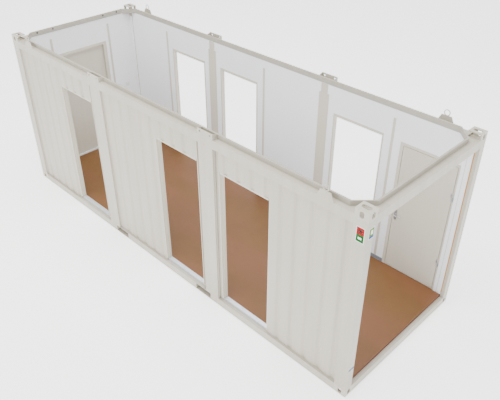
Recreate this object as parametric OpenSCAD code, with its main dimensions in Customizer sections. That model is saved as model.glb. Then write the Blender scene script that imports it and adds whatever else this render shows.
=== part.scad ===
// Portable site cabin: a long, open-topped corridor module with one open end.
// Frame: +X runs along the length towards the open end, +Y towards the back wall, +Z up.
// The origin lies under the middle of the cabin, on the plane that it stands on.

/* [Overall size] */
// Length over the corner posts
cabin_l = 7335; // [6600:5:9000]
// Width over the corner posts
cabin_w = 2435; // [2000:5:3000]
// Height to the top of the corner castings
cabin_h = 2820; // [2780:5:3400]

/* [Steel frame] */
// Thickness of the rolled plate in the base and top rails
plate_t = 5; // [4:0.5:8]
// Height of the base rails
base_h = 120; // [110:1:160]
// Width of the flanges of the base rails
base_flange = 75; // [60:1:90]
// Height of the outer face of the top rails
rail_h = 120; // [100:1:180]
// Distance from the ledge of the top rails to the top of the castings
ledge_drop = 85; // [75:1:110]
// Width of the flat ledge on the long top rails
long_ledge_w = 78; // [60:1:100]
// Width of the flat ledge on the end top rails
end_ledge_w = 90; // [60:1:110]
// Height of the rain kerb above the ledge
kerb_up = 62; // [40:1:70]
// Depth of the kerb below the ledge
kerb_down = 20; // [10:1:60]
// Thickness of the kerb
kerb_t = 24; // [16:1:26]
// Distance along each rail that the 45 degree kerb corner takes up
kerb_corner = 208; // [200:1:300]
// Width of a corner post and its castings along the cabin
post_x = 180; // [140:1:216]
// Width of a corner post across the cabin
post_y = 115; // [112:1:140]
// Width of a corner casting across the cabin
casting_y = 150; // [145:1:200]
// Height of a corner casting
casting_h = 118; // [105:1:119]
// Wall thickness of a corner casting
casting_t = 14; // [8:1:20]
// Width of the upright slots in a casting
side_slot_w = 58; // [40:1:70]
// Height of the upright slots in a casting
side_slot_h = 82; // [72:1:86]
// Length of the slot in the flat outer face of a casting
flat_slot_l = 122; // [90:1:130]
// Width of the slot in the flat outer face of a casting
flat_slot_w = 60; // [40:1:80]
// Width of a middle post along the cabin
mid_post_w = 265; // [200:1:320]

/* [Fork pockets] */
// Distance between the middles of the two fork pockets
fork_spacing = 2050; // [1800:10:2100]
// Inside width of a fork pocket
fork_w = 320; // [250:1:340]
// Wall thickness of a fork pocket
fork_t = 6; // [4:1:10]

/* [Brackets and lifting eyes] */
// Width of the bracket over a middle post
bracket_w = 280; // [250:1:320]
// Radius of the two bolt holes in a bracket
bracket_hole_r = 15; // [8:0.5:18]
// Distance between the two bolt holes in a bracket
bracket_hole_gap = 186; // [140:1:200]
// Distance of a lifting eye from the end of the cabin
eye_inset = 560; // [540:5:800]
// Width of the foot of a lifting plate
eye_plate_w = 235; // [180:1:260]
// Radius of the middle line of a lifting ring
ring_r = 39; // [34:1:50]
// Radius of the bar of a lifting ring
ring_bar_r = 6; // [5:0.5:8]

/* [Walls and floor] */
// Thickness of the floor deck
deck_t = 40; // [25:1:60]
// Thickness of the walls, from the outer plane of the frame to the face of the lining
wall_t = 105; // [90:1:126]
// Depth of the cladding ribs behind the outer plane of the frame
clad_inset = 30; // [25:1:35]
// Distance from one cladding groove to the next
rib_pitch = 234; // [180:1:300]
// Width of a cladding groove at its mouth
groove_w = 92; // [75:1:110]
// Depth of a cladding groove
groove_d = 13; // [6:1:18]
// Thickness of the inner lining boards
lining_t = 12; // [8:1:20]
// Height of the skirting
skirting_h = 65; // [40:1:120]
// Thickness of the skirting
skirting_t = 10; // [8:1:15]
// Height of the top of the joint strips above the floor
strip_top = 2435; // [2350:5:2500]
// Width of the joint strips on the lining
strip_w = 40; // [25:1:60]
// Distance from a doorway to the joint strip beside it
strip_offset = 142.5; // [100:0.5:160]
// Width of the cover boards over the middle posts
cover_w = 180; // [140:1:220]

/* [Doorways] */
// Width of an open doorway over its jambs
opening_w = 880; // [700:1:1060]
// Height of the doorways over their heads, above the floor
opening_h = 2150; // [1950:5:2250]
// Distance from the middle of a post to the nearest jamb
opening_offset = 200; // [180:5:260]
// Thickness of a jamb
jamb_t = 22; // [15:1:35]
// Depth of the rebate on the outside of a jamb
rebate_d = 30; // [15:1:50]
// Height of a door head
head_h = 40; // [25:1:60]
// How far the door frames stand out from the lining
frame_proud = 4; // [2:1:8]

/* [Hinged doors] */
// Width of the back door over its frame
back_door_w = 905; // [850:5:1000]
// Width of the end door over its frame
end_door_w = 1020; // [900:5:1200]
// Height of the hinged doors over their frames, above the floor
door_h = 2130; // [1950:5:2250]
// Thickness of the frame of the back door on its hinge side
hinge_side_w = 25; // [24:1:40]
// Thickness of the other sides of the door frames
frame_w = 50; // [35:1:70]
// Thickness of a door leaf
leaf_t = 40; // [35:1:50]
// Gap between a door leaf and the frame round it
leaf_gap = 7; // [7:0.5:9]
// Height of the door handles above the floor
handle_h = 962; // [850:1:1150]
// Radius of a hinge pin
pin_r = 3.5; // [3:0.1:4]
// Running clearance round a hinge pin
pin_play = 0.08; // [0.02:0.01:0.1]

/* [Hidden] */

// planes of the frame
half_l = cabin_l / 2;
half_w = cabin_w / 2;
post_in_x = half_l - post_x;
post_in_y = half_w - post_y;
casting_in_y = half_w - casting_y;
floor_z = base_h + deck_t;
casting_z = cabin_h - casting_h;
ledge_z = cabin_h - ledge_drop;
rail_z = ledge_z - rail_h;
ledge_under = ledge_z - plate_t;
kerb_y = half_w - long_ledge_w;
kerb_x = half_l - end_ledge_w;
kerb_z = ledge_z - kerb_down;
kerb_step = 3;                       // how far the foot of the kerb lies behind its top
kerb_step_z = ledge_z + kerb_up / 4;

// planes of the walls
clad_y = half_w - clad_inset;
clad_x = half_l - clad_inset;
lining_y = half_w - wall_t;
lining_x = half_l - wall_t;
core_y = lining_y + lining_t;
core_x = lining_x + lining_t;
groove_flank = 32;                   // width of each sloping side of a groove
groove_margin = 8;                   // least distance from a groove to a panel's edge

// posts, bays and doorways
bays = 3;
bay_l = cabin_l / bays;
mid_x = bay_l / 2;
bay_x0 = [-post_in_x, -mid_x + mid_post_w / 2, mid_x + mid_post_w / 2];
bay_x1 = [-mid_x - mid_post_w / 2, mid_x - mid_post_w / 2, post_in_x];
low_side = -opening_offset - opening_w;
front_openings = [-mid_x + low_side, mid_x + low_side, mid_x + opening_offset];
back_openings = [-mid_x + low_side, -mid_x + opening_offset, mid_x + opening_offset];
head_z = floor_z + opening_h;
door_z = floor_z + door_h;
sill_inset = 47;                     // thresholds, from the outer plane of the frame
sill_y = half_w - sill_inset;
deck_end_inset = 57;                 // the deck's edge at the open end, likewise
deck_end_y = min(post_in_y, lining_y);

// base
joist_w = 50;
joist_gap = 615;
joist_count = floor((half_l - base_flange - joist_w) / joist_gap);

// doors
stop_w = 14;                         // width of the stop that a leaf closes against
stop_gap = 6;                        // from a leaf to its stop
leaf_foot = 10;                      // from the floor to the foot of a leaf
leaf_z0 = floor_z + leaf_foot;
leaf_z1 = door_z - head_h - leaf_gap;
hinge_r = 7;                         // radius of a hinge knuckle
knuckle_h = 55;
knuckle_gap = 0.5;
axis_out = 9;                        // from the face of a leaf to its hinge axis
flap_w = 22;
flap_t = 3;
hinge_ups = [430, 1560];             // from the foot of a leaf to its hinges
back_door_x1 = post_in_x;
back_door_x0 = back_door_x1 - back_door_w;
back_face_y = lining_y - frame_proud;
back_hinge_x = back_door_x1 - hinge_side_w - leaf_gap / 2;
back_leaf_x0 = back_door_x0 + frame_w + leaf_gap;
back_leaf_x1 = back_hinge_x - leaf_gap / 2;
end_door_inset = 20;                 // the end door lies back, to leave room for its hinges
end_face_x = half_l - end_door_inset;
end_leaf_y = end_door_w / 2 - frame_w - leaf_gap;
end_hinge_y = end_leaf_y + leaf_gap / 2;
handle_in = 45;                      // from the edge of a leaf to its handle

module frame_paint() { color([0.83, 0.81, 0.77]) children(); }
module white_board() { color([0.86, 0.86, 0.86]) children(); }
module beige_trim() { color([0.80, 0.78, 0.71]) children(); }
module grey_metal() { color([0.60, 0.61, 0.63]) children(); }

// a block between two opposite corners, the lower one first
module block(low, high) { translate(low) cube(high - low); }

// draws its children again at the other end of the cabin
module both_ends() {
    children();
    mirror([1, 0, 0]) children();
}

// draws its children again on the other long side of the cabin
module both_sides() {
    children();
    mirror([0, 1, 0]) children();
}

module four_corners() { both_ends() both_sides() children(); }

// an outline, drawn in Y and Z, carried along X on both sides of the middle
module along_x(reach) {
    translate([-reach, 0, 0]) rotate([90, 0, 90]) linear_extrude(2 * reach) children();
}

// an outline, drawn in X and Z, carried along Y on both sides of the middle
module along_y(reach) {
    translate([0, reach, 0]) rotate([90, 0, 0]) linear_extrude(2 * reach) children();
}

// ---- base ----

// end view of a base rail: the web on its right, the flanges to its left
module base_rail_outline() {
    difference() {
        translate([-base_flange, 0]) square([base_flange, base_h]);
        translate([-base_flange - 1, plate_t])
            square([base_flange + 1 - plate_t, base_h - 2 * plate_t]);
    }
}

module fork_hole(half_width, low, high) {
    block([fork_spacing / 2 - half_width, -half_w - 1, low],
        [fork_spacing / 2 + half_width, half_w + 1, high]);
}

module long_base_rails() {
    frame_paint() difference() {
        both_sides() translate([0, half_w, 0]) along_x(post_in_x) base_rail_outline();
        both_ends() fork_hole(fork_w / 2 + fork_t, plate_t, base_h - plate_t);
    }
}

module end_base_rails() {
    frame_paint() both_ends() translate([half_l, 0, 0]) along_y(casting_in_y) base_rail_outline();
}

module fork_pockets() {
    frame_paint() both_ends() difference() {
        block([fork_spacing / 2 - fork_w / 2 - fork_t, -half_w, plate_t],
            [fork_spacing / 2 + fork_w / 2 + fork_t, half_w, base_h - plate_t]);
        fork_hole(fork_w / 2, plate_t + fork_t, base_h - plate_t - fork_t);
    }
}

module floor_joist(x) {
    block([x - joist_w / 2, plate_t - half_w, plate_t],
        [x + joist_w / 2, half_w - plate_t, base_h - plate_t]);
    block([x - joist_w / 2, base_flange - half_w, plate_t],
        [x + joist_w / 2, half_w - base_flange, base_h]);
}

module floor_joists() {
    frame_paint() for (i = [-joist_count : joist_count])
        if (abs(abs(i * joist_gap) - fork_spacing / 2) > (fork_w + joist_w) / 2 + fork_t)
            floor_joist(i * joist_gap);
}

// the deck stops at the end wall's lining, and on the flange of the open end's rail
module floor_deck() {
    color([0.65, 0.48, 0.36]) union() {
        block([-post_in_x, -lining_y, base_h], [post_in_x, lining_y, floor_z]);
        block([-lining_x, -deck_end_y, base_h], [half_l - deck_end_inset, deck_end_y, floor_z]);
    }
}

// ---- corners ----

// a slot with round ends, cut through a flat wall at z = 0, its length along Y
module slot_cut(width, length) {
    linear_extrude(casting_t + 2, center = true) union() {
        for (side = [-1, 1])
            translate([0, side * (length - width) / 2]) circle(r = width / 2, $fn = 48);
        square([width, length - width], center = true);
    }
}

// a casting with its outer top corner at the origin, open towards the middle of the cabin
module casting() {
    difference() {
        translate([-post_x, -casting_y, -casting_h]) cube([post_x, casting_y, casting_h]);
        translate([-post_x - 1, -casting_y - 1, casting_t - casting_h])
            cube([post_x + 1 - casting_t, casting_y + 1 - casting_t, casting_h - 2 * casting_t]);
        translate([-post_x / 2, -casting_t / 2, -casting_h / 2]) rotate([90, 0, 0])
            slot_cut(side_slot_w, side_slot_h);
        translate([-casting_t / 2, -casting_y / 2, -casting_h / 2]) rotate([90, 0, 90])
            slot_cut(side_slot_w, side_slot_h);
        translate([-post_x / 2, -casting_y / 2, -casting_t / 2]) rotate([0, 0, 90])
            slot_cut(flat_slot_w, flat_slot_l);
    }
}

module top_castings() {
    frame_paint() four_corners() translate([half_l, half_w, cabin_h]) casting();
}

module bottom_castings() {
    frame_paint() four_corners() translate([half_l, half_w, 0]) mirror([0, 0, 1]) casting();
}

module corner_posts() {
    frame_paint() four_corners()
        block([post_in_x, post_in_y, casting_h], [half_l, half_w, casting_z]);
}

// a middle post: full depth up to the top rail, then narrower behind and under it
module middle_posts() {
    frame_paint() four_corners() union() {
        block([mid_x - mid_post_w / 2, core_y, base_h], [mid_x + mid_post_w / 2, half_w, rail_z]);
        block([mid_x - mid_post_w / 2, core_y, base_h], [mid_x + mid_post_w / 2, clad_y, kerb_z]);
        block([mid_x - mid_post_w / 2, kerb_y, base_h],
            [mid_x + mid_post_w / 2, clad_y, ledge_under]);
    }
}

// ---- top rails ----

// end view of a top rail with its outer top edge at the origin: lip, face and ledge
module rail_outline(ledge_w) {
    translate([-plate_t, -rail_h]) square([plate_t, rail_h]);
    translate([-ledge_w, -plate_t]) square([ledge_w, plate_t]);
    translate([-clad_inset, -rail_h]) square([clad_inset, plate_t]);
}

// end view of the kerb with its outer face at x = 0, at its true height
module kerb_outline() {
    translate([-kerb_t, kerb_step_z]) square([kerb_t, ledge_z + kerb_up - kerb_step_z]);
    translate([kerb_step - kerb_t, kerb_z]) square([kerb_t - kerb_step, kerb_step_z - kerb_z]);
}

module long_top_rails() {
    frame_paint() both_sides() translate([0, half_w, ledge_z]) along_x(post_in_x)
        rail_outline(long_ledge_w);
}

// the end rails are notched round the castings, which are wider than the posts
module end_top_rails() {
    frame_paint() both_ends() union() {
        translate([half_l, 0, ledge_z]) along_y(casting_in_y) rail_outline(end_ledge_w);
        both_sides() block([half_l - plate_t, casting_in_y - 1, rail_z],
            [half_l, post_in_y, casting_z]);
    }
}

// a slanting stretch of the kerb, of the given thickness and between two heights
module kerb_corner_band(thickness, low, high) {
    translate([0, 0, low]) linear_extrude(high - low)
        polygon([[kerb_x - kerb_corner, kerb_y], [kerb_x, kerb_y - kerb_corner],
            [kerb_x - thickness, kerb_y - kerb_corner],
            [kerb_x - kerb_corner, kerb_y - thickness]]);
}

// the kerb along the sides and the ends, and its 45 degree stretches in the corners
module rain_kerbs() {
    frame_paint() {
        both_sides() translate([0, kerb_y, 0]) along_x(kerb_x - kerb_corner) kerb_outline();
        both_ends() translate([kerb_x, 0, 0]) along_y(kerb_y - kerb_corner) kerb_outline();
        four_corners() union() {
            kerb_corner_band(kerb_t, kerb_step_z, ledge_z + kerb_up);
            kerb_corner_band(kerb_t - kerb_step, kerb_z, kerb_step_z);
        }
    }
}

// the plates that fill the corners between the kerbs and the ledges
module corner_plates() {
    frame_paint() four_corners() difference() {
        translate([0, 0, ledge_under]) linear_extrude(plate_t)
            polygon([[kerb_x - kerb_corner, kerb_y], [kerb_x, kerb_y],
                [kerb_x, kerb_y - kerb_corner]]);
        block([post_in_x, casting_in_y, ledge_under - 1], [half_l, half_w, ledge_z + 1]);
    }
}

// ---- brackets and lifting eyes ----

bracket_t = 8;
bracket_hole_up = 50;                // from the ledge to the middles of the bolt holes

// an upright plate over a middle post, with a web at each end that runs back to the kerb
module top_brackets() {
    frame_paint() four_corners() translate([mid_x, half_w, ledge_z]) difference() {
        union() {
            block([-bracket_w / 2, -bracket_t, 0], [bracket_w / 2, 0, ledge_drop]);
            for (side = [-1, 1])
                translate([side * (bracket_w - bracket_t) / 2 - bracket_t / 2, 0, 0])
                    rotate([90, 0, 90]) linear_extrude(bracket_t)
                        polygon([[0, 0], [0, ledge_drop], [-bracket_t, ledge_drop],
                            [-long_ledge_w, kerb_up], [-long_ledge_w, 0]]);
        }
        for (side = [-1, 1])
            translate([side * bracket_hole_gap / 2, -bracket_t / 2, bracket_hole_up])
                rotate([90, 0, 0])
                    cylinder(h = bracket_t + 2, r = bracket_hole_r, center = true, $fn = 48);
    }
}

eye_x = half_l - eye_inset;
eye_plate_t = 8;
eye_plate_over = 11;                 // how far the plates rise above the castings
eye_plate_share = 0.6;               // width of their tops, as a share of their feet
eye_plate_top = cabin_h + eye_plate_over;
eye_plate_top_w = eye_plate_w * eye_plate_share;
ring_z = eye_plate_top + ring_r;

// upright plates at the outer edges of the ledges
module lifting_plates() {
    frame_paint() four_corners() translate([eye_x, half_w, ledge_z])
        rotate([90, 0, 0]) linear_extrude(eye_plate_t)
            polygon([[-eye_plate_w / 2, 0], [eye_plate_w / 2, 0],
                [eye_plate_top_w / 2, eye_plate_top - ledge_z],
                [-eye_plate_top_w / 2, eye_plate_top - ledge_z]]);
}

// the rings are welded on: each is cut flat where it stands on its plate
module lifting_rings() {
    frame_paint() four_corners() difference() {
        translate([eye_x, half_w - ring_bar_r, ring_z]) rotate([90, 0, 0])
            rotate_extrude($fn = 64) translate([ring_r, 0]) circle(r = ring_bar_r, $fn = 24);
        block([eye_x - ring_r, half_w - 3 * ring_bar_r, eye_plate_top - 2 * ring_bar_r],
            [eye_x + ring_r, half_w + ring_bar_r, eye_plate_top]);
    }
}

// ---- walls ----

// a groove from top to bottom of the cladding, with its mouth at y = 0
module groove() {
    linear_extrude(cabin_h)
        polygon([[-groove_w / 2, 1], [-groove_w / 2, 0],
            [-groove_w / 2 + groove_flank, -groove_d],
            [groove_w / 2 - groove_flank, -groove_d], [groove_w / 2, 0], [groove_w / 2, 1]]);
}

// cladding of the back wall in one bay, between two X values and two heights;
// a strip too narrow for a groove lies back at the depth of the grooves
module clad_panel(bay, x0, x1, z0) {
    narrow = x1 - x0 < groove_w + 2 * groove_margin;
    first_x = (bay_x0[bay] + bay_x1[bay]) / 2 + rib_pitch / 4;
    reach = ceil(bay_l / rib_pitch);
    difference() {
        block([x0, core_y, z0], [x1, narrow ? clad_y - groove_d : clad_y, ledge_under]);
        block([x0 - 1, core_y - 1, kerb_z], [x1 + 1, kerb_y, ledge_z]);
        for (i = [-reach : reach])
            if (first_x + i * rib_pitch > x0 + groove_w / 2 + groove_margin
                && first_x + i * rib_pitch < x1 - groove_w / 2 - groove_margin)
                translate([first_x + i * rib_pitch, clad_y, 0]) groove();
    }
}

// the two panels beside each doorway of a long wall; the last one may stop at a door
module wall_panels(openings, last_x) {
    for (bay = [0 : bays - 1]) {
        clad_panel(bay, bay_x0[bay], openings[bay], base_h);
        clad_panel(bay, openings[bay] + opening_w, bay < bays - 1 ? bay_x1[bay] : last_x,
            base_h);
    }
}

module wall_headers(openings) {
    for (bay = [0 : bays - 1])
        clad_panel(bay, openings[bay], openings[bay] + opening_w, head_z);
}

module front_wall_panels() {
    frame_paint() mirror([0, 1, 0]) wall_panels(front_openings, post_in_x);
}

module front_wall_headers() { frame_paint() mirror([0, 1, 0]) wall_headers(front_openings); }

module back_wall_panels() { frame_paint() wall_panels(back_openings, back_door_x0); }

module back_wall_headers() {
    frame_paint() {
        wall_headers(back_openings);
        clad_panel(bays - 1, back_door_x0, back_door_x1, door_z);
    }
}

// cladding of the end wall at +X, between two Y values; it is cut back round the
// castings and under the kerb
module end_clad(y0, y1, z0) {
    reach = ceil(half_w / rib_pitch);
    difference() {
        block([core_x, y0, z0], [clad_x, y1, ledge_under]);
        block([core_x - 1, y0 - 1, kerb_z], [kerb_x, y1 + 1, ledge_z]);
        both_sides() block([core_x - 1, casting_in_y, casting_z], [half_l, half_w, cabin_h]);
        for (i = [-reach : reach])
            if (i * rib_pitch > y0 + groove_w / 2 + groove_margin
                && i * rib_pitch < y1 - groove_w / 2 - groove_margin)
                translate([clad_x, i * rib_pitch, 0]) rotate([0, 0, -90]) groove();
    }
}

// the wall closes the end at -X
module end_wall_panels() {
    frame_paint() mirror([1, 0, 0]) both_sides() end_clad(end_door_w / 2, post_in_y, base_h);
}

module end_wall_header() {
    frame_paint() mirror([1, 0, 0]) end_clad(-end_door_w / 2, end_door_w / 2, door_z);
}

// ---- linings ----

// first and last X of the runs of a long wall between its doorways
function run_x0(openings, i) = i == 0 ? -post_in_x : openings[i - 1] + opening_w;
function run_x1(openings, i, last_x) = i == bays ? last_x : openings[i];

module long_linings(openings, last_x) {
    for (i = [0 : bays])
        block([run_x0(openings, i), lining_y, base_h],
            [run_x1(openings, i, last_x), core_y, kerb_z]);
}

module front_linings() { white_board() mirror([0, 1, 0]) long_linings(front_openings, post_in_x); }

module back_linings() { white_board() long_linings(back_openings, back_door_x0); }

module end_linings() {
    white_board() mirror([1, 0, 0]) both_sides() difference() {
        block([lining_x, end_door_w / 2, base_h], [core_x, post_in_y, kerb_z]);
        block([lining_x - 1, casting_in_y, casting_z], [half_l, half_w, cabin_h]);
    }
}

module header_lining(x0, x1, z0) { block([x0, lining_y, z0], [x1, core_y, kerb_z]); }

module header_linings() {
    white_board() {
        for (x = back_openings) header_lining(x, x + opening_w, head_z);
        header_lining(back_door_x0, back_door_x1, door_z);
        mirror([0, 1, 0]) for (x = front_openings) header_lining(x, x + opening_w, head_z);
        mirror([1, 0, 0])
            block([lining_x, -end_door_w / 2, door_z], [core_x, end_door_w / 2, kerb_z]);
    }
}

strip_t = 4;
end_strip_gap = 60;                  // from the end door's frame to a strip
end_strip_y = end_door_w / 2 + end_strip_gap;

// joints beside the doorways; the last one at the back is never nearer to the door's frame
last_doorway_x = back_openings[bays - 1] + opening_w;
back_joints = [back_openings[0] - strip_offset, back_openings[1] + opening_w + strip_offset,
    min(last_doorway_x + strip_offset, (last_doorway_x + back_door_x0) / 2)];
front_joints = [front_openings[0] - strip_offset, front_openings[1] - strip_offset,
    front_openings[2] + opening_w + strip_offset];

module long_strips(joints) {
    for (x = joints)
        block([x - strip_w / 2, lining_y - strip_t, floor_z + skirting_h],
            [x + strip_w / 2, lining_y, floor_z + strip_top]);
}

// narrow strips over the joints between the lining boards
module joint_strips() {
    beige_trim() {
        long_strips(back_joints);
        mirror([0, 1, 0]) long_strips(front_joints);
        mirror([1, 0, 0]) both_sides()
            block([lining_x - strip_t, end_strip_y, floor_z + skirting_h],
                [lining_x, end_strip_y + strip_w, floor_z + strip_top]);
    }
}

cover_t = 6;
cover_step_up = 2410;                // from the floor to where a cover narrows
cover_top_share = 2 / 3;             // width of its top, as a share of its foot
cover_top_w = cover_w * cover_top_share;

// boards over the insides of the middle posts, narrower at the top
module post_covers() {
    beige_trim() four_corners() union() {
        block([mid_x - cover_w / 2, lining_y - cover_t, floor_z],
            [mid_x + cover_w / 2, lining_y, floor_z + cover_step_up]);
        block([mid_x - cover_top_w / 2, lining_y - cover_t, floor_z],
            [mid_x + cover_top_w / 2, lining_y, kerb_z]);
    }
}

seal_x = half_l - deck_end_inset;    // the seals stand just beyond the edge of the deck
seal_w = 12;
seal_low = 40;                       // ends of the seals, above the floor
seal_high = 2380;

// strips of seal on the insides of the posts at the open end
module end_seals() {
    color([0.80, 0.52, 0.25]) both_sides()
        block([seal_x, post_in_y - strip_t, floor_z + seal_low],
            [seal_x + seal_w, post_in_y, floor_z + seal_high]);
}

// the skirting leaves room for the post covers and the door frame beside it
module skirting() {
    color([0.35, 0.37, 0.41]) {
        skirting_side(back_openings, back_door_x0);
        mirror([0, 1, 0]) skirting_side(front_openings, post_in_x);
        mirror([1, 0, 0]) both_sides()
            block([lining_x - skirting_t, end_door_w / 2, floor_z],
                [lining_x, post_in_y, floor_z + skirting_h]);
    }
}

module skirting_side(openings, last_x) {
    difference() {
        for (i = [0 : bays])
            block([run_x0(openings, i), lining_y - skirting_t, floor_z],
                [run_x1(openings, i, last_x), lining_y, floor_z + skirting_h]);
        both_ends() block([mid_x - cover_w / 2, lining_y - skirting_t - 1, floor_z - 1],
            [mid_x + cover_w / 2, lining_y + 1, floor_z + skirting_h + 1]);
    }
}

// ---- doorways without a door ----

// plan of a jamb on the low-X side of a doorway in the back wall, rebated outside
module jamb_plan() {
    depth = clad_y - lining_y + frame_proud;
    polygon([[0, 0], [jamb_t / 2, 0], [jamb_t / 2, -rebate_d], [jamb_t, -rebate_d],
        [jamb_t, -depth], [0, -depth]]);
}

module jambs(openings) {
    for (x = openings) {
        translate([x, clad_y, floor_z]) linear_extrude(opening_h) jamb_plan();
        translate([x + opening_w, clad_y, floor_z]) mirror([1, 0, 0])
            linear_extrude(opening_h) jamb_plan();
    }
}

module front_jambs() { beige_trim() mirror([0, 1, 0]) jambs(front_openings); }

module back_jambs() { beige_trim() jambs(back_openings); }

// the heads fit between the jambs, rebated like them
module heads(openings) {
    for (x = openings) {
        block([x + jamb_t, lining_y - frame_proud, head_z - head_h],
            [x + opening_w - jamb_t, clad_y - rebate_d, head_z]);
        block([x + jamb_t, clad_y - rebate_d, head_z - head_h / 2],
            [x + opening_w - jamb_t, clad_y, head_z]);
    }
}

module door_heads() {
    beige_trim() {
        heads(back_openings);
        mirror([0, 1, 0]) heads(front_openings);
    }
}

module threshold(x0, x1) { block([x0, lining_y, base_h], [x1, sill_y, floor_z]); }

module thresholds() {
    grey_metal() {
        for (x = back_openings) threshold(x, x + opening_w);
        threshold(back_door_x0, back_door_x1);
        mirror([0, 1, 0]) for (x = front_openings) threshold(x, x + opening_w);
        mirror([1, 0, 0]) block([lining_x, -end_door_w / 2, base_h],
            [lining_x + sill_y - lining_y, end_door_w / 2, floor_z]);
    }
}

// ---- hinged doors ----

// a door frame with its room or weather face at y = 0 and its depth along +Y; the stop
// narrows it behind the leaf
module door_frame(width, depth, low_side_w, high_side_w) {
    stop_y = leaf_t + stop_gap;
    difference() {
        block([0, 0, 0], [width, depth, door_h]);
        block([low_side_w, -1, -1], [width - high_side_w, stop_y, door_h - head_h]);
        block([low_side_w + stop_w, -1, -1],
            [width - high_side_w - stop_w, depth + 1, door_h - head_h - stop_w]);
    }
}

module back_door_frame() {
    beige_trim() translate([back_door_x0, back_face_y, floor_z])
        door_frame(back_door_w, clad_y - back_face_y, frame_w, hinge_side_w);
}

module back_door_leaf() {
    color([0.84, 0.83, 0.80])
        block([back_leaf_x0, back_face_y, leaf_z0], [back_leaf_x1, back_face_y + leaf_t, leaf_z1]);
}

plate_z = 176;                       // height of a handle's back plate
plate_w = 44;
plate_deep = 4;
lever_r = 7.5;
neck_r = 8.5;
lever_l = 112;
lever_reach = 52;                    // how far a lever stands out from its leaf
low_reach = end_door_inset;          // the lever outside the end door stays inside the frame

// back plate, neck and lever on a face at y = 0, the lever pointing along +X
module lever_handle(reach) {
    block([-plate_w / 2, -plate_deep, -plate_z / 2], [plate_w / 2, 0, plate_z / 2]);
    translate([0, 1 - plate_deep, 0]) rotate([90, 0, 0])
        cylinder(h = reach + 1 - plate_deep, r = neck_r, $fn = 32);
    translate([0, lever_r - reach, 0]) rotate([0, 90, 0])
        cylinder(h = lever_l, r = lever_r, $fn = 32);
}

module back_door_handles() {
    grey_metal() translate([back_leaf_x0 + handle_in, back_face_y, floor_z + handle_h]) {
        lever_handle(lever_reach);
        translate([0, leaf_t, 0]) mirror([0, 1, 0]) lever_handle(lever_reach);
    }
}

pin_h = 2 * knuckle_h - 5;            // height of the pin above the foot of a hinge
bore_h = pin_h + 1.5;                // height of the bore that the pin stands in, likewise
web_lap = 2;                         // how far a knuckle's web runs into its flap

// one half of a hinge's flap and web, between two heights, to +X of an upright axis
module hinge_flap(low, high) {
    block([leaf_gap / 2, axis_out - flap_t, low], [leaf_gap / 2 + flap_w, axis_out, high]);
    block([0, axis_out - flap_t - web_lap, low],
        [leaf_gap / 2 + web_lap, axis_out - web_lap / 2, high]);
}

// a fixed half hinge round an upright axis, its flap on a face at y = axis_out, to +X
module fixed_hinge() {
    cylinder(h = knuckle_h, r = hinge_r, $fn = 32);
    cylinder(h = pin_h, r = pin_r, $fn = 32);
    hinge_flap(0, knuckle_h);
}

// a moving half hinge that turns on the pin, its flap to -X
module moving_hinge() {
    low = knuckle_h + knuckle_gap;
    difference() {
        union() {
            translate([0, 0, low]) cylinder(h = knuckle_h, r = hinge_r, $fn = 32);
            mirror([1, 0, 0]) hinge_flap(low, low + knuckle_h);
        }
        translate([0, 0, low - 1])
            cylinder(h = bore_h + 1 - low, r = pin_r + pin_play, $fn = 32);
    }
}

module back_hinge_place() {
    for (up = hinge_ups)
        translate([back_hinge_x, back_face_y - axis_out, leaf_z0 + up]) children();
}

module back_door_hinges() { grey_metal() back_hinge_place() fixed_hinge(); }

module back_hinge_knuckles() { grey_metal() back_hinge_place() moving_hinge(); }

// places a door that was drawn with its weather face at y = 0 into the end wall
module in_end_wall() { translate([-end_face_x, 0, 0]) rotate([0, 0, -90]) children(); }

module end_door_frame() {
    beige_trim() in_end_wall() translate([-end_door_w / 2, 0, floor_z])
        door_frame(end_door_w, end_face_x - lining_x + frame_proud, frame_w, frame_w);
}

module end_door_leaf() {
    color([0.84, 0.83, 0.80]) in_end_wall()
        block([-end_leaf_y, 0, leaf_z0], [end_leaf_y, leaf_t, leaf_z1]);
}

module end_door_handles() {
    grey_metal() in_end_wall() translate([handle_in - end_leaf_y, 0, floor_z + handle_h]) {
        lever_handle(low_reach);
        translate([0, leaf_t, 0]) mirror([0, 1, 0]) lever_handle(lever_reach);
    }
}

module end_hinge_place() {
    in_end_wall() for (up = hinge_ups)
        translate([end_hinge_y, -axis_out, leaf_z0 + up]) children();
}

module end_door_hinges() { grey_metal() end_hinge_place() fixed_hinge(); }

module end_hinge_knuckles() { grey_metal() end_hinge_place() moving_hinge(); }

switch_w = 80;
switch_t = 12;
switch_inset = 272;                  // from the post to the edge nearer to the door
switch_up = 1110;                    // from the floor to the lower edge
switch_y = post_in_y - switch_inset;
switch_z = floor_z + switch_up;

module switch_plate() {
    color([0.93, 0.93, 0.93]) mirror([1, 0, 0])
        block([lining_x - switch_t, switch_y, switch_z],
            [lining_x, switch_y + switch_w, switch_z + switch_w]);
}

long_base_rails();
end_base_rails();
fork_pockets();
floor_joists();
floor_deck();
bottom_castings();
corner_posts();
middle_posts();
top_castings();
long_top_rails();
end_top_rails();
rain_kerbs();
corner_plates();
top_brackets();
lifting_plates();
lifting_rings();
front_wall_panels();
front_wall_headers();
back_wall_panels();
back_wall_headers();
end_wall_panels();
end_wall_header();
front_linings();
back_linings();
end_linings();
header_linings();
joint_strips();
post_covers();
end_seals();
front_jambs();
back_jambs();
door_heads();
thresholds();
skirting();
back_door_frame();
back_door_leaf();
back_door_handles();
back_door_hinges();
back_hinge_knuckles();
end_door_frame();
end_door_leaf();
end_door_handles();
end_door_hinges();
end_hinge_knuckles();
switch_plate();
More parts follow.
